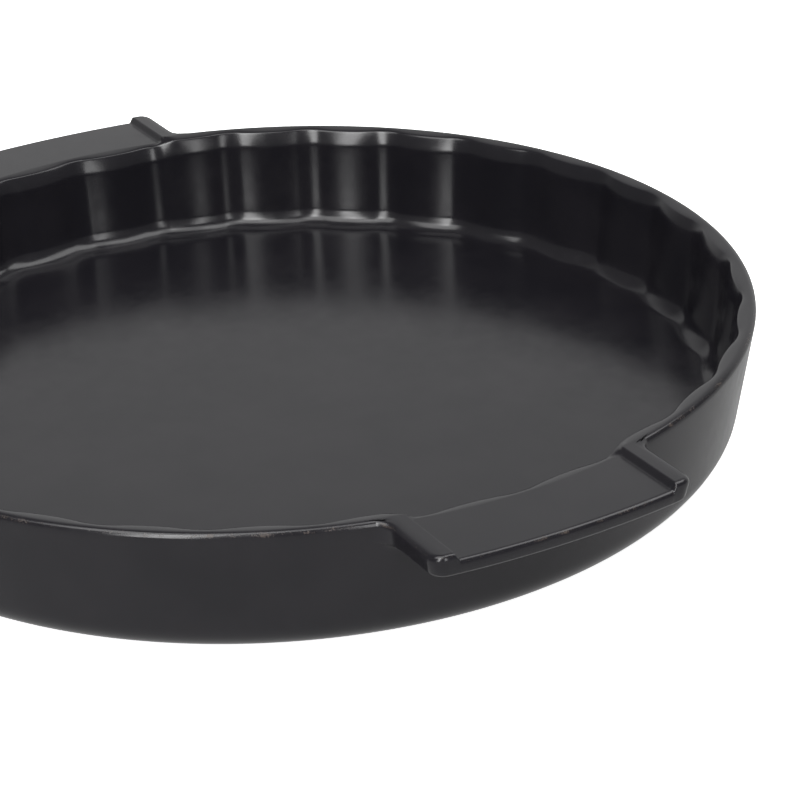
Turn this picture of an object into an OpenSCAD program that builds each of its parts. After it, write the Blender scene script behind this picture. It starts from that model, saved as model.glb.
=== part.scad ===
// Round fluted tart dish in glazed stoneware, with two flat handles.
// Millimetres. +Z is up, +X runs along the handles, and the origin lies
// in the middle of the dish on the plane of its foot.

/* [Rim and wall] */
// Outer diameter of the rim
rim_d = 300; // [240:1:340]
// Height of the body, from its underside to the top of the rim
body_h = 40.2; // [32:0.1:60]
// Lean of the outer wall from upright, in degrees
outer_lean = 9; // [5:0.5:14]
// Radius of the corner between the outer wall and the underside
base_corner_r = 10; // [6:0.5:12]
// Thickness of the rim, measured at the creases between the flutes
rim_t = 4; // [3.6:0.1:6]
// Rounding of the rim's outer edge
lip_r = 1.7; // [1:0.1:1.7]

/* [Flutes] */
// Number of flutes round the wall
flute_count = 32; // [20:1:40]
// Depth of a flute, from its creases in to the crown between them
flute_depth = 2.5; // [1.2:0.05:3]
// Draft of the fluted face below the flare, in degrees
inner_draft = 5; // [2:0.5:8]
// Height of the flared band under the rim
flare_h = 5.6; // [5:0.1:8]
// Lean of the flared band from upright, in degrees
flare_lean = 11; // [8:0.5:16]
// Rounding of the rim's inner edge
inner_lip_r = 2; // [1.2:0.1:2]

/* [Base] */
// Thickness of the floor
floor_t = 6; // [4:0.1:8]
// Radius of the fillet between the floor and the flutes
floor_fillet_r = 6.8; // [3:0.1:8]
// Width of the wall's ring in the underside, from its corner in to the floor plate
base_ring_w = 11.3; // [9:0.1:30]
// Height of the bare foot ring
foot_h = 1; // [0.6:0.1:2]
// Width of the bare foot ring
foot_w = 4.5; // [3:0.1:6]
// Distance from the outer wall's corner in to the foot ring
foot_inset = 3; // [1:0.1:4]

/* [Handles] */
// Reach of a handle beyond the rim
handle_reach = 21.9; // [14:0.1:32]
// Width of a handle across its two shoulders
handle_w = 80.5; // [60:0.5:100]
// Thickness of a handle at its shoulders
handle_t = 6.7; // [5:0.1:10]
// Radius of the handle's bowed outer end, in plan
handle_end_r = 270; // [150:1:400]
// Radius of the handle's outer corners, in plan
handle_corner_r = 4.5; // [3:0.1:10]
// Radius of the hollow where a handle's side runs into the rim
handle_root_r = 8; // [4:0.5:14]
// Rounding of the handle's lower edge
handle_under_r = 1.2; // [0.6:0.1:2]
// Width of each raised shoulder, down to the recess's floor
shoulder_w = 8; // [5:0.1:12]
// Depth of the recess between the shoulders
recess_depth = 2; // [1:0.1:3]
// Width of the soft slope from the recess's floor up to each shoulder
recess_slope_w = 2.6; // [1:0.1:4]

/* [Hidden] */
glaze = [0.23, 0.23, 0.24];
bare_clay = [0.72, 0.6, 0.47];
// How far a cutting shape runs past what it cuts
cut_over = 1;
flute_steps = 10;
fillet_steps = 5;
lip_steps = 4;
plan_steps = 10;
slope_steps = 5;
seat_steps = 30;
round_fn = 240;

rim_r = rim_d / 2;
rim_z = foot_h + body_h;
floor_z = foot_h + floor_t;
crease_r = rim_r - rim_t;
half_flute = 180 / flute_count;
recess_z = rim_z - recess_depth;
recess_half_w = handle_w / 2 - shoulder_w;
under_z = rim_z - handle_t;

// Where the outer wall's line meets the rounding of the underside's corner
corner_top_z = foot_h + base_corner_r * (1 - sin(outer_lean));
corner_c_r = rim_r - (rim_z - lip_r - corner_top_z) * tan(outer_lean)
    - base_corner_r * cos(outer_lean);
floor_plate_r = corner_c_r - base_ring_w;
foot_r = corner_c_r - foot_inset;

// The hollow at a handle's root reaches a little inside the wall's circle, so
// that the two meet at a clear edge, and it touches the line of the handle's side
root_sink = 0.2;
root_y = handle_w / 2 + handle_root_r;
end_c_x = rim_r + handle_reach - handle_end_r;
corner_y = handle_w / 2 - handle_corner_r;
corner_angle = asin(corner_y / (handle_end_r - handle_corner_r));
corner_x = end_c_x + (handle_end_r - handle_corner_r) * cos(corner_angle);

// Points of an arc, from one angle to another
function arc(c, r, from, to, steps) =
    [for (i = [0:steps]) let (a = from + (to - from) * i / steps)
        c + r * [cos(a), sin(a)]];

// Distance from the dish's axis to a flute, whose creases lie at radius r.
// In plan each flute is a circular arc that bulges towards the axis, and only
// a share of it is left where it fades out over the lip.
function flute_r(r, a, share) =
    let (u = r * (1 - cos(half_flute)) - flute_depth,
         arc_r = -(pow(u, 2) + pow(r * sin(half_flute), 2)) / (2 * u),
         axis_r = r - flute_depth + arc_r,
         full = axis_r * cos(a) - sqrt(pow(arc_r, 2) - pow(axis_r * sin(a), 2)))
    r + (full - r) * share;

// The inner face's profile at a crease: [radius, height, 1 on the lip, share of a flute]
function inner_profile() =
    let (lip_z = rim_z - inner_lip_r,
         flare_z = rim_z - flare_h,
         flare_r = crease_r - (lip_z - flare_z) * tan(flare_lean),
         fillet_z = floor_z + floor_fillet_r,
         wall_r = flare_r - (flare_z - fillet_z) * tan(inner_draft))
    concat(
        [for (p = arc([wall_r - floor_fillet_r, fillet_z], floor_fillet_r, -90, 0,
            fillet_steps)) [p[0], p[1], 0, 1]],
        [[flare_r, flare_z, 0, 1]],
        [for (p = arc([crease_r + inner_lip_r, lip_z], inner_lip_r, 180, 90,
            lip_steps)) [p[0], p[1], 1, (crease_r + inner_lip_r - p[0]) / inner_lip_r]],
        [[crease_r + inner_lip_r, rim_z + cut_over, 0, 0]]);

// Height of the recess's floor and slope at a distance y across the handle,
// as a share of the recess's depth: 0 on the floor and 1 on the shoulder
function recess_rise(y) =
    let (t = min(1, max(0, (abs(y) - recess_half_w) / recess_slope_w)))
    t * t * (3 - 2 * t);

// How far the lip drops at angle a to follow the recess of a handle
function lip_drop(a) = recess_depth * (1 - recess_rise(crease_r * sin(a)));

// Skin of a stack of closed rings with equal numbers of points
module loft(rings) {
    k = len(rings[0]);
    last = len(rings) - 1;
    polyhedron(
        points = [for (ring = rings) each ring],
        faces = concat(
            [[for (i = [0:k - 1]) i]],
            [for (j = [0:last - 1]) for (i = [0:k - 1])
                let (a = j * k + i, b = j * k + (i + 1) % k)
                each [[a, a + k, b + k], [a, b + k, b]]],
            [[for (i = [k - 1:-1:0]) last * k + i]]),
        convexity = 6);
}

// The space inside the dish: a plug with the flutes, draft, flare and fillet
module fluted_plug() {
    columns = flute_count * flute_steps;
    loft([for (p = inner_profile()) [for (i = [0:columns - 1])
        let (a = 360 * i / columns,
             from_crown = 2 * half_flute * ((i % flute_steps) / flute_steps - 1 / 2),
             r = flute_r(p[0], from_crown, p[3]))
        [r * cos(a), r * sin(a), p[1] - p[2] * lip_drop(a)]]]);
}

// Profile of the rim's outer rounding, from the wall up to the top
function lip_arc() =
    arc([rim_r - lip_r, rim_z - lip_r], lip_r, 0, 90, lip_steps);

// The wall and rim before the flutes are cut, as a ring round the floor plate
module wall_blank() {
    rotate_extrude($fn = round_fn)
        polygon(concat(
            [[floor_plate_r, foot_h]],
            arc([corner_c_r, foot_h + base_corner_r], base_corner_r,
                -90, -outer_lean, 2 * fillet_steps),
            lip_arc(),
            [[floor_plate_r, rim_z]]));
}

// The recess of the right handle, which runs from the flutes to the outer end
module recess_cut() {
    top_half_w = recess_half_w + recess_slope_w;
    half = concat(
        [for (i = [0:slope_steps]) let (y = recess_half_w + recess_slope_w * i / slope_steps)
            [y, recess_z + recess_depth * recess_rise(y)]],
        [[top_half_w + 2 * cut_over, rim_z + cut_over]]);
    last = len(half) - 1;
    translate([crease_r - handle_reach, 0, 0])
        rotate([90, 0, 90])
            linear_extrude(height = rim_t + 2 * handle_reach + cut_over)
                polygon(concat(half, [for (i = [last:-1:0]) [-half[i][0], half[i][1]]]));
}

// Radius of the leaning outer wall at height z
function wall_r(z) = rim_r - max(0, rim_z - lip_r - z) * tan(outer_lean);

// Angle, seen from the dish's axis, where the root's hollow meets the wall.
// The hollow has radius hollow_r and its centre lies at distance reach.
function root_angle(wall, hollow_r, reach) =
    asin(root_y / reach)
    - acos((pow(wall, 2) + pow(reach, 2) - pow(hollow_r, 2)) / (2 * wall * reach));

// One level of the handle: its outline drawn in by e, closed along a wall of
// radius wall, with the root's hollow centred at distance reach
function level(e, z, wall, reach) =
    let (hollow_r = handle_root_r + e,
         c = [sqrt(pow(reach, 2) - pow(root_y, 2)), root_y],
         meet = root_angle(wall, hollow_r, reach),
         p = wall * [cos(meet), sin(meet)],
         step = 2 * meet / seat_steps,
         half = concat(
             arc(c, hollow_r, 360 + atan2(p[1] - c[1], p[0] - c[0]), 270, plan_steps),
             arc([corner_x, corner_y], handle_corner_r - e, 90, corner_angle,
                 fillet_steps),
             [for (i = [1:plan_steps / 2]) let (a = corner_angle * (1 - 2 * i / plan_steps))
                 [end_c_x + (handle_end_r - e) * cos(a), (handle_end_r - e) * sin(a)]]),
         last = len(half) - 1,
         seat_r = wall / cos(step / 2))
    concat(
        [for (i = [1:seat_steps - 1]) let (a = meet - i * step)
            [seat_r * cos(a), seat_r * sin(a), z]],
        [for (i = [0:last]) [half[i][0], -half[i][1], z]],
        [for (i = [last - 1:-1:0]) [half[i][0], half[i][1], z]]);

// The handle's slab as a stack of levels, from its underside to the rim's top
module handle_slab() {
    under = [for (i = [0:lip_steps]) let (a = 90 * i / lip_steps)
        [handle_under_r * (1 - sin(a)), under_z + handle_under_r * (1 - cos(a))]];
    loft(concat(
        [for (p = under) let (w = wall_r(p[1]))
            level(p[0], p[1], w, w - root_sink + handle_root_r)],
        [for (p = lip_arc())
            level(rim_r - p[0], p[1], p[0], rim_r - root_sink + handle_root_r)]));
}

module floor_plate() {
    color(glaze)
        translate([0, 0, foot_h])
            cylinder(r = floor_plate_r, h = floor_t, $fn = round_fn);
}

module fluted_wall() {
    color(glaze)
        difference() {
            wall_blank();
            fluted_plug();
            recess_cut();
            mirror([1, 0, 0]) recess_cut();
        }
}

module foot_ring() {
    color(bare_clay)
        difference() {
            cylinder(r = foot_r, h = foot_h, $fn = round_fn);
            translate([0, 0, -cut_over])
                cylinder(r = foot_r - foot_w, h = foot_h + 2 * cut_over, $fn = round_fn);
        }
}

module right_handle() {
    color(glaze)
        difference() {
            handle_slab();
            recess_cut();
        }
}

module left_handle() {
    mirror([1, 0, 0]) right_handle();
}

floor_plate();
fluted_wall();
foot_ring();
right_handle();
left_handle();
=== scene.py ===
"""A fluted tart dish of dark glazed stoneware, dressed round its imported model."""

import logging
import math
from collections.abc import Callable
from dataclasses import dataclass
from enum import Enum

import bmesh
import bpy
from bmesh.types import BMesh, BMFace, BMVert
from bpy.types import ID, Material, Node, NodeSocket, NodeTree, Object
from mathutils import Matrix, Vector


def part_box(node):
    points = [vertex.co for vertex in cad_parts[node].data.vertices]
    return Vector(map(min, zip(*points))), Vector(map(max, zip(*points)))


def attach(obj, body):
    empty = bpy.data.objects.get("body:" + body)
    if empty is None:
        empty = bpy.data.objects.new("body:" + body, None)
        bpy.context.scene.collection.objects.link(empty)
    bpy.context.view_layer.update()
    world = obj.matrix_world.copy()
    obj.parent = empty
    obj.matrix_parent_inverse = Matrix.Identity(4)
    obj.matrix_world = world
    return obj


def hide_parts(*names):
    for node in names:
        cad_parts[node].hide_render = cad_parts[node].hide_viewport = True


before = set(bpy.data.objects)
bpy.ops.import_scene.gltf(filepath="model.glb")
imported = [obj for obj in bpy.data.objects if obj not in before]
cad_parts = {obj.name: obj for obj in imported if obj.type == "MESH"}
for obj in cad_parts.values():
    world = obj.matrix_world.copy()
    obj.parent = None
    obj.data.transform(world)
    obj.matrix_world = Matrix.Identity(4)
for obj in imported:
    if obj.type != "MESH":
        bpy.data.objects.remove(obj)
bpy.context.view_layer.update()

LOG = logging.getLogger("tart_dish")
Colour = tuple[float, float, float, float]
Inputs = dict[str | int, object]
MM = 0.001
UP = Vector((0.0, 0.0, 1.0))
ACROSS = Vector((0.0, 1.0, 0.0))
QUARTER_TURN = math.pi / 2.0
# The axis that turns a profile counter-clockwise with the radius to the right
PROFILE_AXIS = -ACROSS
MERGE_DISTANCE = 1e-6
QUAD_CORNERS = 4
WHITE: Colour = (1.0, 1.0, 1.0, 1.0)
BLACK: Colour = (0.0, 0.0, 0.0, 1.0)


class Side(Enum):
    """The two ends of the dish that carry a handle."""

    RIGHT = "right"
    LEFT = "left"


class Layer(Enum):
    """Values that a vertex carries while the dish is shaped."""

    WAVE = "wave"
    DROP = "drop"
    EDGE = "edge"


def smooth_step(low: float, high: float, value: float) -> float:
    """Eased share of the way from low to high.

    Args:
        low: Value at which the share is 0.
        high: Value at which the share is 1.
        value: Value to place between them.

    Returns:
        A share from 0 to 1, level at both ends.
    """
    share = min(1.0, max(0.0, (value - low) / (high - low)))
    return share * share * (3.0 - 2.0 * share)


def profile_point(radius: float, z: float) -> Vector:
    """A place in the upright plane in which profiles are drawn.

    Args:
        radius: Distance from the dish's axis.
        z: Height.

    Returns:
        The place, above the +X axis.
    """
    return Vector((radius, 0.0, z))


@dataclass(frozen=True)
class DishSizes:
    """Sizes that the dish's pieces share, in metres and radians.

    Attributes:
        rim_r: Radius of the rim's outer edge.
        rim_z: Height of the rim's top.
        foot_z: Height of the glazed underside, on top of the foot ring.
        floor_z: Height of the floor inside.
        under_z: Height of the handles' undersides.
        lip_r: Radius of the rim's outer rounding.
        outer_lean: Lean of the outer wall.
        recess_depth: Depth of a handle's recess below the rim.
        recess_half_w: Half the recess's width.
        step_w: Width of the slope at the recess's sides, out on the handle.
        inner_step_w: Width of the same slope on the inner face of the wall.
        widening_run: Length over which the slope widens from one to the other.
    """

    rim_r: float = min(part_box("fluted_wall")[1].x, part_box("fluted_wall")[1].y)
    rim_z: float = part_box("fluted_wall")[1].z
    foot_z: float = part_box("foot_ring")[1].z
    floor_z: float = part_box("floor_plate")[1].z
    under_z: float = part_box("right_handle")[0].z
    lip_r: float = 1.8 * MM
    outer_lean: float = math.radians(9.0)
    recess_depth: float = 2.0 * MM
    recess_half_w: float = 33.5 * MM
    step_w: float = 1.5 * MM
    inner_step_w: float = 9.0 * MM
    widening_run: float = 2.5 * MM

    @property
    def crest_r(self) -> float:
        """Radius of the circle along the top of the rim."""
        return self.rim_r - self.lip_r

    @property
    def lip_z(self) -> float:
        """Height at which the rim's outer rounding starts."""
        return self.rim_z - self.lip_r

    def recess_drop(self, y: float, radius: float) -> float:
        """Depth of a handle's recess, whose sides open out inside the top of the rim.

        Args:
            y: Distance across the handle from its middle.
            radius: Distance from the dish's axis.

        Returns:
            The depth in metres, 0 outside the recess.
        """
        inside = smooth_step(0.0, self.widening_run, self.crest_r - radius)
        half = (self.step_w + (self.inner_step_w - self.step_w) * inside) / 2.0
        past = smooth_step(self.recess_half_w - half, self.recess_half_w + half, abs(y))
        return self.recess_depth * (1.0 - past)


class Pen:
    """Draws a chain of edges in a bmesh by extruding and spinning its last vertex."""

    def __init__(self, mesh: BMesh, start: Vector, axis: Vector) -> None:
        """Puts the first vertex down.

        Args:
            mesh: The bmesh that holds the chain.
            start: Place of the first vertex.
            axis: Normal of the plane that the chain lies in.
        """
        self.mesh = mesh
        self.axis = axis
        for layer in Layer:
            mesh.verts.layers.float.new(layer.value)
        self.chain = [mesh.verts.new(start)]

    @property
    def last(self) -> int:
        """Number of the chain's last vertex."""
        return len(self.chain) - 1

    @property
    def tip(self) -> Vector:
        """Place of the chain's last vertex."""
        return self.chain[-1].co

    def line_to(self, end: Vector, parts: int = 1) -> None:
        """Draws a straight stretch.

        Args:
            end: Place at which it ends.
            parts: Number of equal edges in it.
        """
        step = (end - self.tip) / parts
        for _ in range(parts):
            made = bmesh.ops.extrude_vert_indiv(self.mesh, verts=[self.chain[-1]])
            bmesh.ops.translate(self.mesh, verts=made["verts"], vec=step)
            self.chain.append(made["verts"][0])

    def turn(self, centre: Vector, angle: float, parts: int) -> None:
        """Draws an arc.

        Args:
            centre: Centre of the arc.
            angle: Angle of the arc, counter-clockwise if it is positive.
            parts: Number of equal edges in it.
        """
        for _ in range(parts):
            made = bmesh.ops.spin(self.mesh, geom=[self.chain[-1]], cent=centre, axis=self.axis,
                                  angle=angle / parts, steps=1)
            self.chain += [g for g in made["geom_last"] if isinstance(g, BMVert)]

    def mark(self, layer: Layer, first: int, value: Callable[[float], float]) -> None:
        """Sets a layer on the chain from the vertex numbered first to its end.

        Args:
            layer: The layer to set.
            first: Number of the first vertex to set.
            value: The layer's value by the share of the way along.
        """
        key = self.mesh.verts.layers.float[layer.value]
        for number in range(first, self.last + 1):
            self.chain[number][key] = value((number - first) / (self.last - first))


def spin_round(mesh: BMesh, sectors: int, steps: int) -> None:
    """Turns a profile right round the upright axis into a closed skin.

    Args:
        mesh: The bmesh that holds the profile alone.
        sectors: Number of equal sectors, of which only the first is spun.
        steps: Columns of faces in one sector.
    """
    angle = math.tau / sectors
    bmesh.ops.spin(mesh, geom=mesh.verts[:] + mesh.edges[:], cent=Vector(), axis=UP,
                   angle=angle, steps=steps)
    first = mesh.verts[:] + mesh.edges[:] + mesh.faces[:]
    for number in range(1, sectors):
        made = bmesh.ops.duplicate(mesh, geom=first)["geom"]
        bmesh.ops.rotate(mesh, verts=[g for g in made if isinstance(g, BMVert)],
                         cent=Vector(), matrix=Matrix.Rotation(number * angle, 3, UP))
    bmesh.ops.remove_doubles(mesh, verts=mesh.verts, dist=MERGE_DISTANCE)
    bmesh.ops.recalc_face_normals(mesh, faces=mesh.faces)


def place_object(name: str, data: ID) -> Object:
    """Puts a new object into the scene.

    Args:
        name: Name of the object.
        data: Its mesh, lamp or camera.

    Returns:
        The new object.
    """
    placed = bpy.data.objects.new(name, data)
    bpy.context.scene.collection.objects.link(placed)
    return placed


def place_mesh(mesh: BMesh, name: str, material: Material) -> Object:
    """Turns a bmesh into an object with one material.

    Args:
        mesh: The finished bmesh, which is freed.
        name: Name of the object and of its mesh.
        material: The material.

    Returns:
        The new object.
    """
    data = bpy.data.meshes.new(name)
    mesh.to_mesh(data)
    mesh.free()
    data.materials.append(material)
    return place_object(name, data)


def finish_piece(mesh: BMesh, name: str, nodes: list[str],
                 material: Material) -> None:
    """Turns a bmesh into a smooth piece that rides on the dish's body.

    Args:
        mesh: The finished bmesh, which is freed.
        name: Name of the piece.
        nodes: The CAD nodes that the piece stands for.
        material: The piece's finish.
    """
    for face in mesh.faces:
        face.smooth = True
    for layer in (Layer.WAVE, Layer.DROP):
        mesh.verts.layers.float.remove(mesh.verts.layers.float[layer.value])
    piece = place_mesh(mesh, name, material)
    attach(piece, "root")
    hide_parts(*nodes)
    LOG.info("%s: %d faces", name, len(piece.data.polygons))


@dataclass(frozen=True)
class Flutes:
    """The fluted inner face: arcs in plan that bulge towards the dish's axis.

    Attributes:
        count: Number of flutes.
        depth: How far a flute's crown lies inside its creases.
        columns_each: Columns of faces in one flute.
        cusp_share: Share of half a flute that is rounded off into the crease.
    """

    count: int = 32
    depth: float = 2.5 * MM
    columns_each: int = 30
    cusp_share: float = 0.3

    @property
    def half_pitch(self) -> float:
        """Half the angle that one flute takes."""
        return math.pi / self.count

    def inset(self, crease_r: float, azimuth: float) -> float:
        """How far the face lies inside the circle of its creases.

        Args:
            crease_r: Radius of the creases at this height.
            azimuth: Angle round the dish, 0 at the right handle's middle.

        Returns:
            The inset in metres, 0 at a crease.
        """
        turn = azimuth % (2.0 * self.half_pitch)
        share = abs(turn / self.half_pitch - 1.0)
        start = 1.0 - self.cusp_share
        if share <= start:
            return self._arc_inset(crease_r, share)
        # A parabola leads on with the mean slope before it and is level at the crease
        base = self._arc_inset(crease_r, start)
        slope = (base - self._arc_inset(crease_r, start - self.cusp_share)) / self.cusp_share
        past = share - start
        return base + slope * (past - past * past / (2.0 * self.cusp_share))

    def _arc_inset(self, crease_r: float, share: float) -> float:
        """Inset of a flute's plain arc, before its creases are rounded.

        Args:
            crease_r: Radius of the creases at this height.
            share: Share of the way from the crown to the crease.

        Returns:
            The inset in metres.
        """
        reach = crease_r * (1.0 - math.cos(self.half_pitch)) - self.depth
        arc_r = -(reach ** 2 + (crease_r * math.sin(self.half_pitch)) ** 2) / (2.0 * reach)
        axis_r = crease_r - self.depth + arc_r
        angle = share * self.half_pitch
        return crease_r - (axis_r * math.cos(angle)
                           - math.sqrt(arc_r ** 2 - (axis_r * math.sin(angle)) ** 2))


@dataclass(frozen=True)
class FlutedShell:
    """Floor, fluted wall and rim of the dish as one skin of glaze.

    Attributes:
        sizes: Sizes shared with the other pieces.
        flutes: Plan of the fluted face.
        corner_r: Radius of the body's lower corner.
        inner_lip_r: Radius of the rim's inner rounding.
        flare_h: Height of the flare, from the rim's top.
        flare_lean: Lean of the flare's upper end.
        lip_wave: Share of the flutes' depth that the inner rounding reaches.
        draft: Lean of the inner wall below the flare.
        fillet_r: Radius between the inner wall and the floor.
        blend_r: Radius of the hollow under a handle.
        blend_fade: Length over which that hollow fades upwards and sideways.
        blend_half_w: Half the hollow's width.
        gather: How strongly the columns are drawn to a recess's end.
        gather_width: Angle over which they are drawn.
        base_parts: Rows of faces in the underside, and so on up the profile.
    """

    sizes: DishSizes
    flutes: Flutes
    corner_r: float = 10.0 * MM
    inner_lip_r: float = 1.7 * MM
    flare_h: float = 6.2 * MM
    flare_lean: float = math.radians(32.0)
    lip_wave: float = 0.9
    draft: float = math.radians(5.0)
    fillet_r: float = 6.2 * MM
    blend_r: float = 3.0 * MM
    blend_fade: float = 6.0 * MM
    blend_half_w: float = 42.0 * MM
    gather: float = 0.65
    gather_width: float = math.radians(1.2)
    base_parts: int = 4
    corner_parts: int = 10
    outer_wall_parts: int = 24
    lip_parts: int = 9
    inner_lip_parts: int = 12
    flare_parts: int = 12
    inner_wall_parts: int = 10
    fillet_parts: int = 8
    floor_parts: int = 5

    def build(self, material: Material) -> None:
        """Spins the profile, then shapes the flutes, the recesses and the handle roots.

        Args:
            material: The glaze.
        """
        mesh = bmesh.new()
        self._draw_profile(mesh)
        spin_round(mesh, self.flutes.count, self.flutes.columns_each)
        self._shape(mesh)
        finish_piece(mesh, "glazed_dish", ["floor_plate", "fluted_wall"], material)

    @property
    def _flare_bottom(self) -> float:
        """Height at which the flare ends and the inner wall starts."""
        return self.sizes.rim_z - self.flare_h

    def _draw_profile(self, mesh: BMesh) -> None:
        """Draws half of the dish's section, from the underside's middle to the floor's."""
        pen = Pen(mesh, profile_point(0.0, self.sizes.foot_z), PROFILE_AXIS)
        self._draw_outside(pen)
        self._draw_rim(pen)
        self._draw_inside(pen)

    def _draw_outside(self, pen: Pen) -> None:
        """Draws the underside, the lower corner and the outer wall."""
        size = self.sizes
        lean = size.outer_lean
        corner_top_z = size.foot_z + self.corner_r * (1.0 - math.sin(lean))
        corner_top_r = size.rim_r - (size.lip_z - corner_top_z) * math.tan(lean)
        corner = profile_point(corner_top_r - self.corner_r * math.cos(lean),
                               size.foot_z + self.corner_r)
        pen.line_to(profile_point(corner.x, size.foot_z), self.base_parts)
        pen.turn(corner, QUARTER_TURN - lean, self.corner_parts)
        pen.line_to(profile_point(size.crest_r + size.lip_r * math.cos(lean),
                                  size.lip_z - size.lip_r * math.sin(lean)),
                    self.outer_wall_parts)

    def _draw_rim(self, pen: Pen) -> None:
        """Draws the rim's two roundings and the flare inside them."""
        size = self.sizes
        first = pen.last
        pen.turn(profile_point(size.crest_r, size.lip_z), QUARTER_TURN + size.outer_lean,
                 self.lip_parts)
        pen.mark(Layer.EDGE, first, lambda share: math.sin(share * math.pi))
        inner = pen.last
        pen.turn(profile_point(size.crest_r, size.rim_z - self.inner_lip_r),
                 QUARTER_TURN - self.flare_lean, self.inner_lip_parts)
        pen.mark(Layer.WAVE, inner, lambda share: self.lip_wave * smooth_step(0.0, 1.0, share))
        flare = pen.last
        flare_r = ((pen.tip.z - self._flare_bottom)
                   / (math.sin(self.flare_lean) - math.sin(self.draft)))
        pen.turn(pen.tip + flare_r * profile_point(math.cos(self.flare_lean),
                                                   -math.sin(self.flare_lean)),
                 self.flare_lean - self.draft, self.flare_parts)
        pen.mark(Layer.WAVE, flare, lambda share: self.lip_wave + (1.0 - self.lip_wave)
                 * smooth_step(0.0, 1.0, share))
        pen.mark(Layer.DROP, first, lambda share: 1.0)

    def _draw_inside(self, pen: Pen) -> None:
        """Draws the inner wall, its fillet and the floor."""
        first = pen.last
        fillet_z = self.sizes.floor_z + self.fillet_r
        wall_end_z = fillet_z - self.fillet_r * math.sin(self.draft)
        draft_in = (self._flare_bottom - wall_end_z) * math.tan(self.draft)
        pen.line_to(profile_point(pen.tip.x - draft_in, wall_end_z), self.inner_wall_parts)
        pen.mark(Layer.DROP, first, lambda share: 1.0 - smooth_step(0.0, 1.0, share))
        pen.turn(profile_point(pen.tip.x - self.fillet_r * math.cos(self.draft), fillet_z),
                 self.draft - QUARTER_TURN, self.fillet_parts)
        pen.mark(Layer.WAVE, first, lambda share: 1.0)
        pen.line_to(profile_point(0.0, self.sizes.floor_z), self.floor_parts)

    def _shape(self, mesh: BMesh) -> None:
        """Moves each vertex of the spun skin to its place on the dish."""
        size = self.sizes
        wave = mesh.verts.layers.float[Layer.WAVE.value]
        drop = mesh.verts.layers.float[Layer.DROP.value]
        for vert in mesh.verts:
            radius = math.hypot(vert.co.x, vert.co.y)
            if radius < MERGE_DISTANCE:
                continue
            azimuth = self._gathered(math.atan2(vert.co.y, vert.co.x))
            radius -= vert[wave] * self.flutes.inset(radius, azimuth)
            across = radius * math.sin(azimuth)
            if vert[wave] == 0.0:
                radius += self._root_blend(vert.co.z, across)
            vert.co = Vector((radius * math.cos(azimuth), radius * math.sin(azimuth),
                              vert.co.z - vert[drop] * size.recess_drop(across, radius)))

    def _gathered(self, azimuth: float) -> float:
        """Draws the skin's columns together beside the four ends of the recesses.

        Args:
            azimuth: Angle of a column round the dish.

        Returns:
            The angle to which the column moves.
        """
        step = math.asin(self.sizes.recess_half_w / self.sizes.crest_r)
        for line in (step, -step, math.pi - step, step - math.pi):
            away = (azimuth - line + math.pi) % math.tau - math.pi
            azimuth -= self.gather * away * math.exp(-(away / self.gather_width) ** 2)
        return azimuth

    def _root_blend(self, z: float, across: float) -> float:
        """How far the wall swells to meet a handle's underside in a hollow.

        Args:
            z: Height on the wall.
            across: Distance across the handle from its middle.

        Returns:
            The swell in metres, 0 away from the handles.
        """
        below = self.sizes.under_z - z
        if below < -self.blend_fade or below > self.blend_r:
            return 0.0
        width = self.blend_r * (1.0 - smooth_step(self.blend_half_w - self.blend_fade,
                                                  self.blend_half_w, abs(across)))
        if below < 0.0:
            return width * smooth_step(-self.blend_fade, 0.0, below)
        return width * (1.0 - math.sqrt(1.0 - (1.0 - below / self.blend_r) ** 2))


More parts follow.
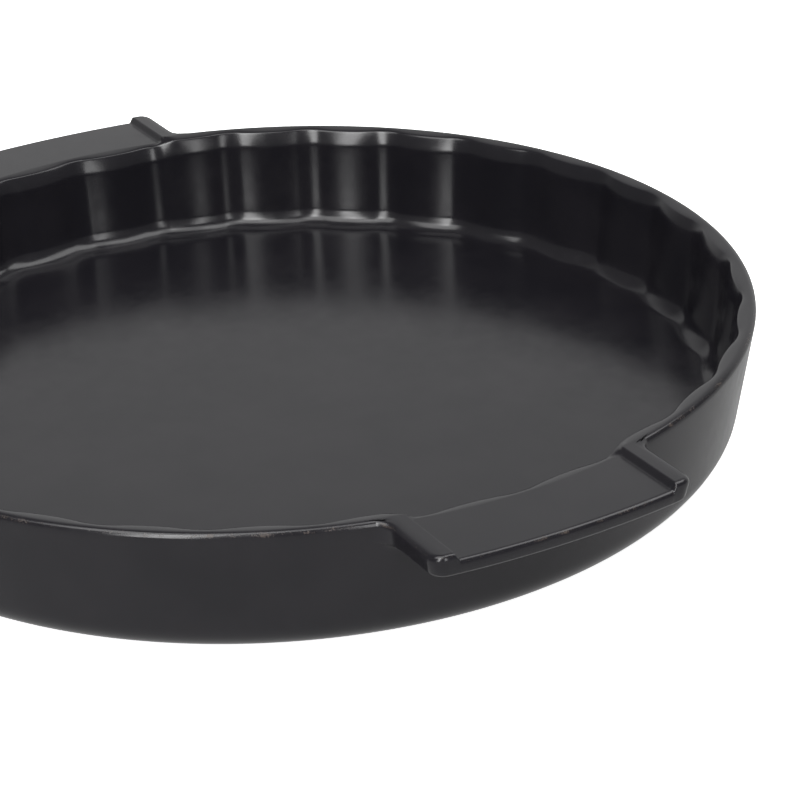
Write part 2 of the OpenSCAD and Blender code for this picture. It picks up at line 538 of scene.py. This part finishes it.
@dataclass(frozen=True)
class HandleSlab:
    """A flat handle with two raised shoulders and a recess between them.

    Attributes:
        sizes: Sizes shared with the other pieces.
        end_x: Distance of the bowed end from the dish's axis.
        half_w: Half the handle's width.
        end_r: Radius of the bowed end.
        corner_r: Radius of the outer corners.
        root_r: Radius of the hollows in which the sides meet the wall.
        crest_y: Distance across from which a shoulder falls off to its side.
        crest_fall: Depth of that fall at the side.
        crest_run: Length from the rim over which the fall sets in.
        taper: How much smaller the underside is than the top.
        taper_from: Share of the half width from which the sides draw in too.
        root_sink: How far the slab's roots run into the wall.
        seat_in: How far the slab runs on inside the rim's crest, under the glaze.
        top_r: Radius of the top edge's rounding.
        under_r: Radius of the lower edge's rounding.
        support: Width of the flat strip of faces beside a curved one.
        top_slack: Share of top_r below the rounding that still counts as top.
        round_parts: Rows of faces in a rounding.
        step_lines: Strips of faces across the slope at the recess's side.
        crest_lines: Strips of faces across a shoulder's crest.
        bow_parts: Edges in the bowed end, and so on round the outline.
    """

    sizes: DishSizes
    end_x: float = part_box("right_handle")[1].x
    half_w: float = 40.25 * MM
    end_r: float = 270.0 * MM
    corner_r: float = 4.5 * MM
    root_r: float = 8.0 * MM
    crest_y: float = 36.4 * MM
    crest_fall: float = 0.6 * MM
    crest_run: float = 5.8 * MM
    taper: float = 1.0 * MM
    taper_from: float = 0.5
    root_sink: float = 0.9 * MM
    seat_in: float = 1.6 * MM
    top_r: float = 1.6 * MM
    under_r: float = 1.1 * MM
    support: float = 0.2 * MM
    top_slack: float = 0.01
    round_parts: int = 8
    step_lines: int = 8
    crest_lines: int = 4
    bow_parts: int = 24
    corner_parts: int = 10
    side_parts: int = 6
    root_parts: int = 12
    seat_parts: int = 48

    def build(self, side: Side, material: Material) -> None:
        """Shapes one handle from its outline.

        Args:
            side: The end of the dish that it stands at.
            material: The glaze.
        """
        mesh = bmesh.new()
        self._draw_outline(mesh)
        bottom = bmesh.ops.contextual_create(mesh, geom=mesh.edges[:])["faces"][0]
        made = bmesh.ops.extrude_face_region(mesh, geom=[bottom])["geom"]
        top = next(g for g in made if isinstance(g, BMFace))
        rise = self.sizes.rim_z - self.top_r - self._low_z
        bmesh.ops.translate(mesh, verts=top.verts, vec=UP * rise)
        bmesh.ops.recalc_face_normals(mesh, faces=mesh.faces)
        bottom = min(mesh.faces, key=lambda face: face.calc_center_median().z)
        self._round_over(mesh, top, self.top_r)
        self._round_over(mesh, bottom, self.under_r)
        self._cut_step_lines(mesh)
        self._shape(mesh)
        bmesh.ops.triangulate(mesh, faces=[f for f in mesh.faces if len(f.verts) > QUAD_CORNERS])
        if side is Side.LEFT:
            bmesh.ops.rotate(mesh, verts=mesh.verts, cent=Vector(),
                             matrix=Matrix.Rotation(math.pi, 3, "Z"))
        bmesh.ops.recalc_face_normals(mesh, faces=mesh.faces)
        node = f"{side.value}_handle"
        finish_piece(mesh, f"glazed_{node}", [node], material)

    @property
    def _low_z(self) -> float:
        """Height at which the lower edge's rounding ends."""
        return self.sizes.under_z + self.under_r

    def _draw_outline(self, mesh: BMesh) -> None:
        """Draws the handle's plan outline, counter-clockwise from the bowed end."""
        size = self.sizes
        level = self._low_z
        reach = size.rim_r - self.root_sink + self.root_r
        root_y = self.half_w + self.root_r
        root_angle = math.asin(root_y / reach)
        seat_r = size.crest_r - self.seat_in
        bow = Vector((self.end_x - self.end_r, 0.0, level))
        corner_y = self.half_w - self.corner_r
        corner_angle = math.asin(corner_y / (self.end_r - self.corner_r))
        corner_x = bow.x + (self.end_r - self.corner_r) * math.cos(corner_angle)
        root_x = reach * math.cos(root_angle)
        pen = Pen(mesh, bow + self.end_r * Vector((math.cos(corner_angle),
                                                   -math.sin(corner_angle), 0.0)), UP)
        pen.turn(bow, 2.0 * corner_angle, self.bow_parts)
        pen.turn(Vector((corner_x, corner_y, level)), QUARTER_TURN - corner_angle,
                 self.corner_parts)
        pen.line_to(Vector((root_x, self.half_w, level)), self.side_parts)
        pen.turn(Vector((root_x, root_y, level)), root_angle - QUARTER_TURN, self.root_parts)
        end = Vector((math.cos(root_angle), math.sin(root_angle), 0.0))
        pen.line_to(seat_r * end + level * UP)
        pen.turn(level * UP, -2.0 * root_angle, self.seat_parts)
        end.y = -end.y
        pen.line_to((size.rim_r - self.root_sink) * end + level * UP)
        pen.turn(Vector((root_x, -root_y, level)), root_angle - QUARTER_TURN, self.root_parts)
        pen.line_to(Vector((corner_x, -self.half_w, level)), self.side_parts)
        pen.turn(Vector((corner_x, -corner_y, level)), QUARTER_TURN - corner_angle,
                 self.corner_parts)
        bmesh.ops.remove_doubles(mesh, verts=mesh.verts, dist=MERGE_DISTANCE)
        bmesh.ops.contextual_create(mesh, geom=[v for v in mesh.verts if len(v.link_edges) == 1])

    def _round_over(self, mesh: BMesh, face: BMFace, radius: float) -> None:
        """Rounds the edge of a flat face by insetting it in steps along an arc.

        Args:
            mesh: The bmesh of the slab.
            face: Its top or its bottom.
            radius: Radius of the rounding.
        """
        for number in range(self.round_parts):
            low = QUARTER_TURN * number / self.round_parts
            high = QUARTER_TURN * (number + 1) / self.round_parts
            bmesh.ops.inset_region(mesh, faces=[face], use_even_offset=True,
                                   thickness=radius * (math.cos(low) - math.cos(high)),
                                   depth=radius * (math.sin(high) - math.sin(low)))
        bmesh.ops.inset_region(mesh, faces=[face], use_even_offset=True,
                               thickness=self.support, depth=0.0)

    def _cut_step_lines(self, mesh: BMesh) -> None:
        """Cuts the slab along the lines in which the recess's sides and the crests curve."""
        size = self.sizes
        low = size.recess_half_w - size.step_w / 2.0 - self.support
        high = size.recess_half_w + size.step_w / 2.0 + self.support
        brink = self.half_w - self.top_r - self.support
        lines = [low + (high - low) * number / self.step_lines
                 for number in range(self.step_lines + 1)]
        lines += [high + (brink - high) * number / self.crest_lines
                  for number in range(1, self.crest_lines)]
        for place in [side * y for side in (1.0, -1.0) for y in lines]:
            bmesh.ops.bisect_plane(mesh, geom=mesh.verts[:] + mesh.edges[:] + mesh.faces[:],
                                   plane_co=place * ACROSS, plane_no=ACROSS,
                                   dist=MERGE_DISTANCE)

    def _shape(self, mesh: BMesh) -> None:
        """Sinks the recess, tapers the slab, leans its roots and notes the worn edges."""
        size = self.sizes
        edge = mesh.verts.layers.float[Layer.EDGE.value]
        for vert in mesh.verts:
            flat = Vector((vert.co.x, vert.co.y, 0.0))
            across = abs(flat.y)
            top_share = (vert.co.z - (size.rim_z - self.top_r)) / self.top_r
            under_share = (self._low_z - vert.co.z) / self.under_r
            for share in (top_share, under_share):
                if 0.0 <= share < 1.0:
                    vert[edge] = math.sin(2.0 * math.asin(share))
            if top_share >= -self.top_slack:
                vert.co.z -= self._top_fall(across, flat.length)
            depth = min(1.0, max(0.0, -top_share * self.top_r / (size.rim_z - size.under_z)))
            clear = smooth_step(0.0, self.root_r, flat.length - size.rim_r)
            narrow = clear * depth * self.taper
            side = smooth_step(self.taper_from, 1.0, across / self.half_w)
            vert.co -= Vector((narrow, math.copysign(narrow * side, flat.y), 0.0))
            if flat.length > size.crest_r:
                vert.co -= self._root_lean(across, vert.co.z) * flat.normalized()

    def _top_fall(self, across: float, radius: float) -> float:
        """How far the slab's flat top falls: into the recess, and off a shoulder's crest.

        Args:
            across: Distance across the handle from its middle.
            radius: Distance from the dish's axis.

        Returns:
            The fall in metres.
        """
        past = min(1.0, max(0.0, (across - self.crest_y) / (self.half_w - self.crest_y)))
        clear = smooth_step(0.0, self.crest_run, radius - self.sizes.crest_r)
        return self.sizes.recess_drop(across, radius) + self.crest_fall * clear * past ** 2

    def _root_lean(self, across: float, z: float) -> float:
        """How far a root draws in towards the axis to follow the wall's lean.

        Args:
            across: Distance across the handle from its middle.
            z: Height on the root.

        Returns:
            The way in metres, 0 between the roots.
        """
        size = self.sizes
        root_y = self.half_w + self.root_r * math.cos(math.asin(self.half_w / size.rim_r))
        lean = smooth_step(self.half_w, root_y, across) * math.tan(size.outer_lean)
        return lean * max(0.0, size.lip_z - z)


@dataclass(frozen=True)
class FootRing:
    """The bare ring of clay that the dish stands on.

    Attributes:
        sizes: Sizes shared with the other pieces.
        outer_r: Outer radius of the ring.
        width: Width of the ring.
        soft_edge: Radius of its two lower edges.
        sectors: Number of equal sectors that it is made of.
        columns_each: Columns of faces in one sector.
        edge_parts: Rows of faces in a lower edge.
        under_parts: Rows of faces between the lower edges.
    """

    sizes: DishSizes
    outer_r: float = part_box("foot_ring")[1].x
    width: float = 4.5 * MM
    soft_edge: float = 0.4 * MM
    sectors: int = 8
    columns_each: int = 32
    edge_parts: int = 4
    under_parts: int = 3

    def build(self, material: Material) -> None:
        """Spins the ring's section with its two soft lower edges.

        Args:
            material: The bare clay.
        """
        mesh = bmesh.new()
        top_z = self.sizes.foot_z
        inner_r = self.outer_r - self.width
        pen = Pen(mesh, profile_point(self.outer_r, top_z), PROFILE_AXIS)
        pen.line_to(profile_point(self.outer_r, self.soft_edge))
        pen.turn(profile_point(self.outer_r - self.soft_edge, self.soft_edge), -QUARTER_TURN,
                 self.edge_parts)
        pen.line_to(profile_point(inner_r + self.soft_edge, 0.0), self.under_parts)
        pen.turn(profile_point(inner_r + self.soft_edge, self.soft_edge), -QUARTER_TURN,
                 self.edge_parts)
        pen.line_to(profile_point(inner_r, top_z))
        pen.line_to(profile_point(self.outer_r, top_z))
        spin_round(mesh, self.sectors, self.columns_each)
        finish_piece(mesh, "bare_foot", ["foot_ring"], material)


@dataclass(frozen=True)
class Noise:
    """A noise texture's scale per metre, its detail and its roughness."""

    scale: float
    detail: float
    roughness: float = 0.5


class NodeSheet:
    """Shorthand for placing and joining shader nodes in a tree."""

    # Sockets of a colour mix: its share, its two colours, and its result
    MIX_INPUTS = (0, 6, 7)
    MIX_RESULT = 2

    def __init__(self, tree: NodeTree) -> None:
        """Takes the tree to work in."""
        self.tree = tree

    def add(self, kind: str, settings: dict[str, object] | None = None,
            inputs: Inputs | None = None) -> Node:
        """Adds a node.

        Args:
            kind: The node's type name.
            settings: Properties of the node itself.
            inputs: Values for its inputs, or output sockets to link to them.

        Returns:
            The new node.
        """
        node = self.tree.nodes.new(kind)
        for name, value in (settings or {}).items():
            setattr(node, name, value)
        self.feed(node, inputs or {})
        return node

    def feed(self, node: Node, inputs: Inputs) -> None:
        """Sets the inputs of a node.

        Args:
            node: The node.
            inputs: Values for its inputs, or output sockets to link to them.
        """
        for name, value in inputs.items():
            if isinstance(value, NodeSocket):
                self.tree.links.new(value, node.inputs[name])
            else:
                node.inputs[name].default_value = value

    def noise(self, place: NodeSocket, noise: Noise) -> NodeSocket:
        """Adds a noise texture.

        Args:
            place: Where each point lies.
            noise: Kind of noise.

        Returns:
            The noise's value.
        """
        return self.add("ShaderNodeTexNoise", inputs={
            "Vector": place, "Scale": noise.scale, "Detail": noise.detail,
            "Roughness": noise.roughness}).outputs["Fac"]

    def ramp(self, value: NodeSocket, low: float, high: float, to_low: float = 0.0,
             to_high: float = 1.0) -> NodeSocket:
        """Maps a value smoothly from one range to another.

        Args:
            value: The value to map.
            low: Value that becomes to_low, as does anything below it.
            high: Value that becomes to_high, as does anything above it.
            to_low: Lower end of the result.
            to_high: Upper end of the result.

        Returns:
            The mapped value.
        """
        return self.add("ShaderNodeMapRange", {"interpolation_type": "SMOOTHSTEP"}, {
            "Value": value, "From Min": low, "From Max": high, "To Min": to_low,
            "To Max": to_high}).outputs["Result"]

    def math(self, operation: str, one: NodeSocket | float,
             two: NodeSocket | float) -> NodeSocket:
        """Adds a sum, a product or another operation on two values.

        Args:
            operation: The operation's type name.
            one: First value.
            two: Second value.

        Returns:
            The result.
        """
        return self.add("ShaderNodeMath", {"operation": operation},
                        {0: one, 1: two}).outputs["Value"]

    def mix(self, share: NodeSocket, one: NodeSocket | Colour,
            two: NodeSocket | Colour) -> NodeSocket:
        """Mixes two colours.

        Args:
            share: Share of the second colour.
            one: First colour.
            two: Second colour.

        Returns:
            The mixed colour.
        """
        values = dict(zip(self.MIX_INPUTS, (share, one, two), strict=True))
        return self.add("ShaderNodeMix", {"data_type": "RGBA"}, values).outputs[self.MIX_RESULT]


def new_group(name: str, inputs: dict[str, float], outputs: list[str]) -> NodeSheet:
    """Starts a shader node group.

    Args:
        name: Name of the group.
        inputs: Names of its number inputs with their default values.
        outputs: Names of its number outputs.

    Returns:
        The sheet of the group's tree, with its input and output nodes placed.
    """
    tree = bpy.data.node_groups.new(name, "ShaderNodeTree")
    tree.interface.new_socket("Place", in_out="INPUT", socket_type="NodeSocketVector")
    for label, value in inputs.items():
        socket = tree.interface.new_socket(label, in_out="INPUT", socket_type="NodeSocketFloat")
        socket.default_value = value
    for label in outputs:
        tree.interface.new_socket(label, in_out="OUTPUT", socket_type="NodeSocketFloat")
    tree.nodes.new("NodeGroupInput")
    tree.nodes.new("NodeGroupOutput")
    return NodeSheet(tree)


@dataclass(frozen=True)
class Effects:
    """The shader effects that the dish's finishes share.

    Attributes:
        fine: Noise of a surface's fine relief.
        broad: Noise of its broad relief.
        specks: Noise of the single specks.
        patches: Noise of the patches in which the specks gather.
        speck_share: Share of the single specks in the mask's level.
        patch_share: Share of the patches in the mask's level.
        none_below: Level below which nothing is masked.
        full_above: Level above which all is masked.
    """

    fine: Noise = Noise(1400.0, 3.0)
    broad: Noise = Noise(240.0, 2.0)
    specks: Noise = Noise(1700.0, 4.0, 0.65)
    patches: Noise = Noise(240.0, 3.0)
    speck_share: float = 0.6
    patch_share: float = 0.5
    none_below: float = 0.86
    full_above: float = 1.02

    def surface_grain(self) -> NodeTree:
        """Makes the group that gives a fired surface its fine and its broad relief."""
        sheet = new_group("surface_grain", {"Fine": 1.0, "Broad": 1.0}, ["Height"])
        given = sheet.tree.nodes["Group Input"].outputs
        fine = sheet.noise(given["Place"], self.fine)
        broad = sheet.noise(given["Place"], self.broad)
        height = sheet.math("ADD", sheet.math("MULTIPLY", fine, given["Fine"]),
                            sheet.math("MULTIPLY", broad, given["Broad"]))
        sheet.feed(sheet.tree.nodes["Group Output"], {"Height": height})
        return sheet.tree

    def worn_specks(self) -> NodeTree:
        """Makes the group that breaks an edge value up into specks and streaks."""
        sheet = new_group("worn_specks", {"Edge": 0.0, "Amount": 0.5}, ["Mask"])
        given = sheet.tree.nodes["Group Input"].outputs
        specks = sheet.math("MULTIPLY", sheet.noise(given["Place"], self.specks),
                            self.speck_share)
        patches = sheet.math("MULTIPLY", sheet.noise(given["Place"], self.patches),
                             self.patch_share)
        wear = sheet.math("MULTIPLY", given["Edge"], given["Amount"])
        level = sheet.math("ADD", sheet.math("ADD", patches, specks), wear)
        mask = sheet.ramp(level, self.none_below, self.full_above)
        sheet.feed(sheet.tree.nodes["Group Output"], {"Mask": mask})
        return sheet.tree


@dataclass(frozen=True)
class Finish:
    """A fired surface: a clouded body with specks and a relief.

    Attributes:
        name: Name of the material.
        body: The body's colour between the clouds.
        clouded: The body's colour in the clouds.
        speck: Colour of the specks.
        clouds: Noise of the clouds.
        sheen: Noise of the roughness.
        roughness: Middle roughness of the body.
        roughness_swing: How far the roughness departs from the middle.
        fine: Strength of the fine relief.
        broad: Strength of the broad relief.
        bump_strength: Strength of the whole relief.
        bump_distance: Depth of the relief.
        worn_edges: Whether the specks keep to the edges that the pieces note.
        speck_lift: How much rougher than the body the specks are.
        speck_amount: How far the specks spread.
        cloud_range: Values of the clouds' noise where a cloud starts and is full.
        sheen_range: Values of the sheen's noise at the two ends of the swing.
        ior: Index of refraction.
    """

    name: str
    body: Colour
    clouded: Colour
    speck: Colour
    clouds: Noise
    sheen: Noise
    roughness: float
    roughness_swing: float
    fine: float
    broad: float
    bump_strength: float
    bump_distance: float
    worn_edges: bool = False
    speck_lift: float = 0.0
    speck_amount: float = 0.3
    cloud_range: tuple[float, float] = (0.35, 0.7)
    sheen_range: tuple[float, float] = (0.3, 0.7)
    ior: float = 1.5

    def build(self, grain: NodeTree, specks: NodeTree) -> Material:
        """Places the finish's nodes.

        Args:
            grain: Group that gives the relief.
            specks: Group that gives the mask of the specks.

        Returns:
            The new material.
        """
        material = bpy.data.materials.new(self.name)
        material.use_nodes = True
        sheet = NodeSheet(material.node_tree)
        place = sheet.add("ShaderNodeTexCoord").outputs["Object"]
        edge = 1.0
        if self.worn_edges:
            edge = sheet.add("ShaderNodeAttribute",
                             {"attribute_name": Layer.EDGE.value}).outputs["Fac"]
        mask = sheet.add("ShaderNodeGroup", {"node_tree": specks}, {
            "Place": place, "Edge": edge, "Amount": self.speck_amount}).outputs["Mask"]
        cloud = sheet.ramp(sheet.noise(place, self.clouds), *self.cloud_range)
        body = sheet.mix(cloud, self.body, self.clouded)
        rough = sheet.ramp(sheet.noise(place, self.sheen), *self.sheen_range,
                           self.roughness - self.roughness_swing,
                           self.roughness + self.roughness_swing)
        if self.speck_lift:
            rough = sheet.math("ADD", rough, sheet.math("MULTIPLY", mask, self.speck_lift))
        height = sheet.add("ShaderNodeGroup", {"node_tree": grain}, {
            "Place": place, "Fine": self.fine, "Broad": self.broad}).outputs["Height"]
        bump = sheet.add("ShaderNodeBump", inputs={
            "Strength": self.bump_strength, "Distance": self.bump_distance, "Height": height})
        sheet.feed(material.node_tree.nodes["Principled BSDF"], {
            "IOR": self.ior, "Base Color": sheet.mix(mask, body, self.speck),
            "Roughness": rough, "Normal": bump.outputs["Normal"]})
        return material


# Dark satin glaze that thins to a rusty brown along the worn edges
SATIN_GLAZE = Finish(
    name="satin_glaze", body=(0.0076, 0.0071, 0.0095, 1.0),
    clouded=(0.0106, 0.0097, 0.0123, 1.0), speck=(0.052, 0.039, 0.033, 1.0),
    clouds=Noise(45.0, 4.0), sheen=Noise(220.0, 3.0), roughness=0.2, roughness_swing=0.025,
    fine=0.35, broad=1.0, bump_strength=0.08, bump_distance=0.06 * MM, worn_edges=True,
    speck_lift=0.2)

# Unglazed stoneware of the foot: matt, sandy and a little stained with iron
BARE_CLAY = Finish(
    name="bare_clay", body=(0.46, 0.345, 0.24, 1.0), clouded=(0.33, 0.225, 0.145, 1.0),
    speck=(0.09, 0.055, 0.035, 1.0), clouds=Noise(60.0, 4.0), sheen=Noise(300.0, 3.0),
    roughness=0.82, roughness_swing=0.05, fine=1.0, broad=0.5, bump_strength=0.5,
    bump_distance=0.08 * MM)


@dataclass(frozen=True)
class SoftLamp:
    """A rectangular lamp that faces the dish.

    Attributes:
        name: Name of the lamp.
        bearing: Degrees to the left of the camera's heading, in plan.
        rise: Degrees above the table.
        distance: Metres from the dish.
        width: Width in metres.
        height: Height in metres.
        level: Brightness of its face, where 1 is white.
    """

    name: str
    bearing: float
    rise: float
    distance: float
    width: float
    height: float
    level: float

    def build(self, heading: float) -> None:
        """Hangs the lamp.

        Args:
            heading: Direction in plan that the camera looks along, in radians.
        """
        data = bpy.data.lights.new(self.name, "AREA")
        data.shape = "RECTANGLE"
        data.size = self.width
        data.size_y = self.height
        data.energy = self.level * math.pi * self.width * self.height
        lamp = place_object(self.name, data)
        plan, rise = heading + math.radians(self.bearing), math.radians(self.rise)
        lamp.location = self.distance * Vector((math.cos(plan) * math.cos(rise),
                                                math.sin(plan) * math.cos(rise),
                                                math.sin(rise)))
        lamp.rotation_euler = (-lamp.location).to_track_quat("-Z", "Y").to_euler()


@dataclass(frozen=True)
class Studio:
    """A white table under soft light, with the camera of the photograph's view.

    Attributes:
        sizes: Sizes shared with the dish's pieces.
        turn: Angle in plan at which the camera stands, from the -Y axis.
        yaw: Angle by which it looks past the dish's axis.
        pitch: Angle by which it looks down.
        roll: Angle by which it is tilted.
        distance: Its distance from the dish's axis, in plan.
        height: Its height above the glazed underside.
        lens_px: Its focal length in pixels of the picture.
        picture_px: Width of the picture in pixels.
        sensor_mm: Width of its sensor.
        clip_end: Distance to which it sees.
        table_half: Half the table's width.
        table_shade: Colour of the table in the light that it throws on the dish.
        table_lift: Light that it shows the camera beside what it reflects.
        table_gleam: Its brightness in the glaze's reflections.
        front_light: Light of the surround behind the camera.
        back_light: Light of the surround behind the dish.
        dim_until: Cosine from the heading below which the surround is dim.
        bright_from: Cosine from the heading above which it is bright.
        lamps: The lamps.
    """

    sizes: DishSizes
    turn: float = math.radians(63.84)
    yaw: float = math.radians(3.07)
    pitch: float = math.radians(26.33)
    roll: float = math.radians(-2.17)
    distance: float = 753.09 * MM
    height: float = 374.95 * MM
    lens_px: float = 2673.3
    picture_px: float = 800.0
    sensor_mm: float = 36.0
    clip_end: float = 50.0
    table_half: float = 6.0
    table_shade: Colour = (0.8, 0.8, 0.8, 1.0)
    table_lift: Colour = (0.9, 0.9, 0.9, 1.0)
    table_gleam: Colour = (0.54, 0.54, 0.54, 1.0)
    front_light: Colour = (0.22, 0.22, 0.22, 1.0)
    back_light: Colour = (0.63, 0.63, 0.63, 1.0)
    dim_until: float = 0.35
    bright_from: float = 0.76
    lamps: tuple[SoftLamp, ...] = (
        SoftLamp(name="tall_lamp", bearing=158.0, rise=32.0, distance=2.0, width=0.46,
                 height=1.9, level=8.6),
        SoftLamp(name="side_lamp", bearing=205.0, rise=26.0, distance=2.0, width=0.3,
                 height=1.5, level=4.8),
        SoftLamp(name="top_lamp", bearing=140.0, rise=62.0, distance=1.3, width=0.7,
                 height=0.75, level=3.4),
        SoftLamp(name="high_lamp", bearing=205.0, rise=78.0, distance=1.3, width=0.6,
                 height=0.6, level=2.2),
        SoftLamp(name="right_lamp", bearing=280.0, rise=58.0, distance=1.3, width=0.6,
                 height=1.0, level=3.0))

    def build(self) -> None:
        """Makes the camera, the table, the surround and the lamps."""
        self._camera()
        self._table()
        self._surround()
        for lamp in self.lamps:
            lamp.build(self.heading)

    @property
    def heading(self) -> float:
        """Direction in plan that the camera looks along, from the +X axis."""
        return self.turn - self.yaw + QUARTER_TURN

    def _camera(self) -> None:
        """Stands the camera where the photograph was taken from."""
        data = bpy.data.cameras.new("camera")
        data.sensor_width = self.sensor_mm
        data.lens = self.lens_px / self.picture_px * self.sensor_mm
        data.clip_end = self.clip_end
        camera = place_object("camera", data)
        place = Vector((self.distance * math.sin(self.turn), -self.distance * math.cos(self.turn),
                        self.height + self.sizes.foot_z))
        facing = (Matrix.Rotation(self.turn - self.yaw, 4, "Z")
                  @ Matrix.Rotation(QUARTER_TURN - self.pitch, 4, "X")
                  @ Matrix.Rotation(self.roll, 4, "Z"))
        camera.matrix_world = Matrix.Translation(place) @ facing
        bpy.context.scene.camera = camera

    def _table(self) -> None:
        """Lays the pale table, which keeps the shadow of the dish."""
        material = bpy.data.materials.new("table")
        material.use_nodes = True
        sheet = NodeSheet(material.node_tree)
        path = sheet.add("ShaderNodeLightPath").outputs
        seen, glossy = path["Is Camera Ray"], path["Is Glossy Ray"]
        colour = sheet.mix(glossy, sheet.mix(seen, self.table_shade, WHITE), BLACK)
        glow = sheet.mix(glossy, sheet.mix(seen, BLACK, self.table_lift), self.table_gleam)
        sheet.feed(material.node_tree.nodes["Principled BSDF"], {
            "Roughness": 1.0, "Specular IOR Level": 0.0, "Base Color": colour,
            "Emission Color": glow, "Emission Strength": 1.0})
        mesh = bmesh.new()
        bmesh.ops.create_grid(mesh, x_segments=1, y_segments=1, size=self.table_half)
        place_mesh(mesh, "table", material)

    def _surround(self) -> None:
        """Surrounds the dish with light, white to the camera and dimmer behind it."""
        world = bpy.data.worlds.new("surround")
        bpy.context.scene.world = world
        world.use_nodes = True
        sheet = NodeSheet(world.node_tree)
        away = sheet.add("ShaderNodeVectorMath", {"operation": "DOT_PRODUCT"}, {
            0: sheet.add("ShaderNodeTexCoord").outputs["Generated"],
            1: (math.cos(self.heading), math.sin(self.heading), 0.0)}).outputs["Value"]
        light = sheet.mix(sheet.ramp(away, self.dim_until, self.bright_from), self.front_light,
                          self.back_light)
        seen = sheet.add("ShaderNodeLightPath").outputs["Is Camera Ray"]
        sheet.feed(world.node_tree.nodes["Background"], {
            "Strength": 1.0, "Color": sheet.mix(seen, light, WHITE)})


def main() -> None:
    """Builds the dish's finishes and pieces, and the studio round them."""
    logging.basicConfig(level=logging.INFO, format="%(name)s %(message)s")
    bpy.context.scene.view_settings.view_transform = "Standard"
    effects = Effects()
    groups = effects.surface_grain(), effects.worn_specks()
    glaze = SATIN_GLAZE.build(*groups)
    sizes = DishSizes()
    FlutedShell(sizes, Flutes()).build(glaze)
    for side in Side:
        HandleSlab(sizes).build(side, glaze)
    FootRing(sizes).build(BARE_CLAY.build(*groups))
    Studio(sizes).build()


if __name__ == "__main__":
    main()
